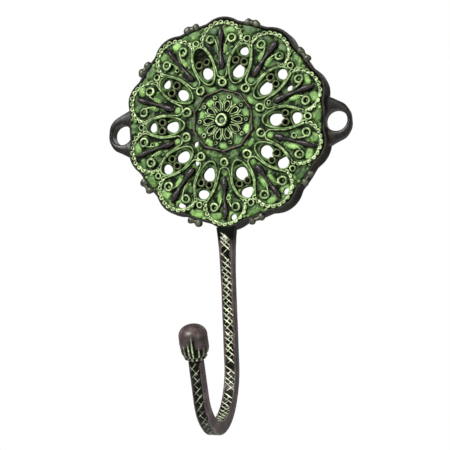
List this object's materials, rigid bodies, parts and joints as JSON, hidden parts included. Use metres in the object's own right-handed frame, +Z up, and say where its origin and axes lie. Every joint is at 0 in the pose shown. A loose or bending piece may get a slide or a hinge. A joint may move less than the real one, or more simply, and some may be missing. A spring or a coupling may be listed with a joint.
{
  "type": "wall hook",
  "caption": "Cast wall hook: a pierced, lobed medallion with two screw ears and one long engraved hook that ends in a knob.",
  "frame": {"origin": "midway between the two screw holes, on the wall plane", "axes": "+Z up, the wall at Y = 0, the front faces -Y, +X to the right seen from the front"},
  "size_m": [0.096, 0.0533, 0.1552],
  "materials": {
    "verdigris_plate": "green patina over dark brown cast metal, matt, pale where rubbed",
    "verdigris_relief": "pale green dry-brushed crests over dark recesses",
    "dark_bronze": "dark purple-brown bronze with a soft sheen",
    "engraved_rod": "dark bronze rod with pale green worn crosshatching on its front",
    "knob_bronze": "dark bronze, pale green in the flutes"
  },
  "bodies": {
    "root": {"face_plate": "verdigris_plate", "rim_skirt": "dark_bronze", "ear_left": "dark_bronze", "ear_right": "dark_bronze", "lobe_rings": "verdigris_relief", "teardrop_cups": "verdigris_relief", "root_rings": "verdigris_relief", "notch_rings": "verdigris_relief", "rim_grains": "dark_bronze", "frame_wire": "verdigris_relief", "rosette_petals": "verdigris_relief", "rosette_pellets": "verdigris_relief", "centre_boss": "verdigris_relief", "centre_grain": "verdigris_relief", "hook_arm": "engraved_rod", "knob_collar": "knob_bronze", "knob": "knob_bronze", "lobe_wire_01": "verdigris_relief", "lobe_wire_02": "verdigris_relief", "lobe_wire_03": "verdigris_relief", "lobe_wire_04": "verdigris_relief", "lobe_wire_05": "verdigris_relief", "lobe_wire_06": "verdigris_relief", "lobe_wire_07": "verdigris_relief", "lobe_wire_08": "verdigris_relief", "lobe_wire_09": "verdigris_relief", "lobe_wire_10": "verdigris_relief", "spindle_01": "dark_bronze", "spindle_02": "dark_bronze", "spindle_03": "dark_bronze", "spindle_04": "dark_bronze", "spindle_05": "dark_bronze", "spindle_06": "dark_bronze", "spindle_07": "dark_bronze", "spindle_08": "dark_bronze", "spindle_09": "dark_bronze", "spindle_10": "dark_bronze", "bead_row_01": "verdigris_relief", "bead_row_02": "verdigris_relief", "bead_row_03": "verdigris_relief", "bead_row_04": "verdigris_relief", "bead_row_05": "verdigris_relief", "bead_row_06": "verdigris_relief", "bead_row_07": "verdigris_relief", "bead_row_08": "verdigris_relief", "bead_row_09": "verdigris_relief", "bead_row_10": "verdigris_relief", "teardrop_wire_01": "verdigris_relief", "teardrop_wire_02": "verdigris_relief", "teardrop_wire_03": "verdigris_relief", "teardrop_wire_04": "verdigris_relief", "teardrop_wire_05": "verdigris_relief", "teardrop_wire_06": "verdigris_relief", "teardrop_wire_07": "verdigris_relief", "teardrop_wire_08": "verdigris_relief", "teardrop_wire_09": "verdigris_relief", "teardrop_wire_10": "verdigris_relief"}
  },
  "joints": []
}
